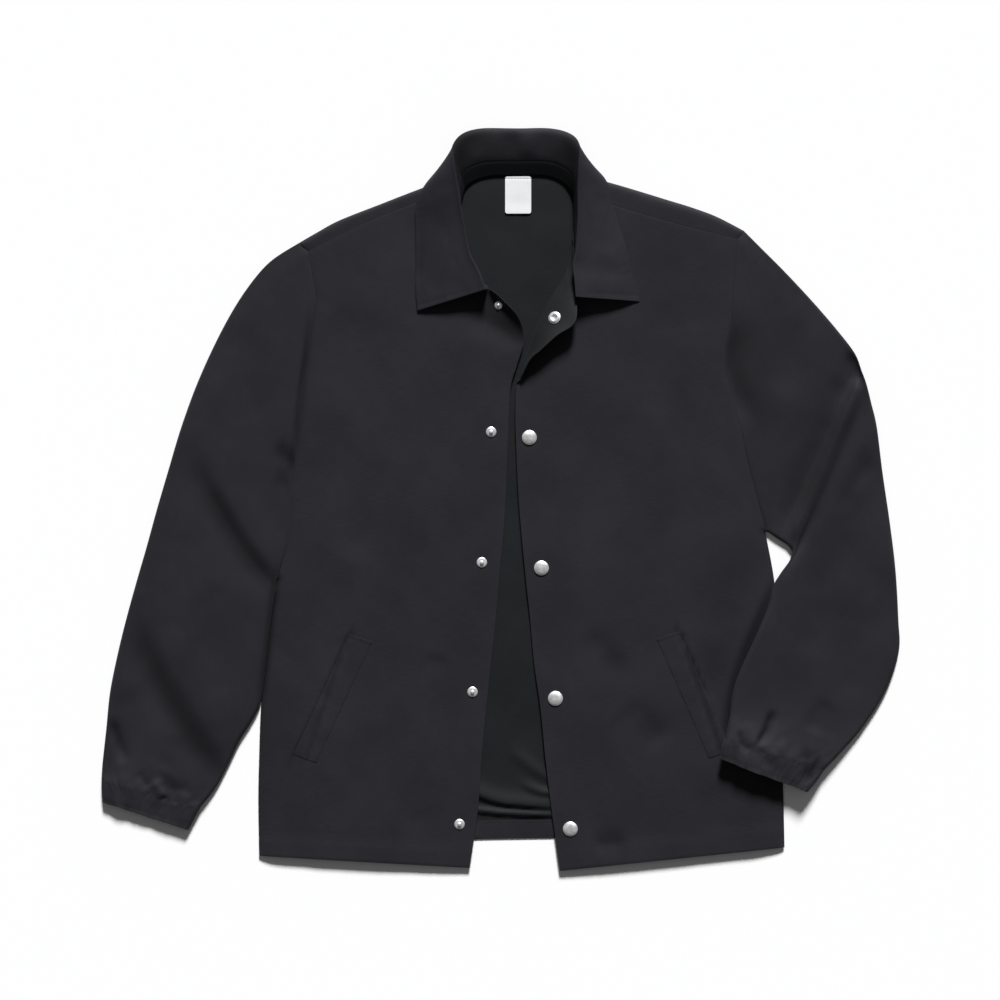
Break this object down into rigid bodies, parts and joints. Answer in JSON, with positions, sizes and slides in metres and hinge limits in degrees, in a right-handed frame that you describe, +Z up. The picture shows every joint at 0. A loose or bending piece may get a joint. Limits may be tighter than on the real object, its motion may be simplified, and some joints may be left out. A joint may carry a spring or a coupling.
{
  "type": "coach jacket",
  "caption": "Long-sleeved nylon coach jacket lying flat with its front open: pointed collar, snap front, slanted welt pockets and gathered elastic cuffs.",
  "frame": {"origin": "on the surface it lies on, under the middle of the jacket's width and length", "axes": "+X to the viewer's right across the laid-out sleeves, +Y towards the collar, +Z up from the surface"},
  "size_m": [0.8575, 0.7964, 0.0232],
  "materials": {
    "shell": "matt woven nylon with a faint sheen",
    "inside": "coated inside of the nylon, matt",
    "label": "bare woven satin label",
    "snap": "polished"
  },
  "bodies": {
    "root": {"back_panel": "inside", "back_hem": "shell", "front_right": "shell", "front_left": "shell", "sleeve_right": "shell", "sleeve_left": "shell", "cuff_right": "shell", "cuff_left": "shell", "collar_stand": "inside", "collar_fall": "shell", "pocket_welt_right": "shell", "pocket_welt_left": "shell", "neck_label": "label", "snap_stud_1": "snap", "snap_stud_2": "snap", "snap_stud_3": "snap", "snap_stud_4": "snap", "snap_stud_neck": "snap", "snap_cap_1": "snap", "snap_cap_2": "snap", "snap_cap_3": "snap", "snap_cap_4": "snap", "snap_socket_neck": "snap"}
  },
  "joints": []
}
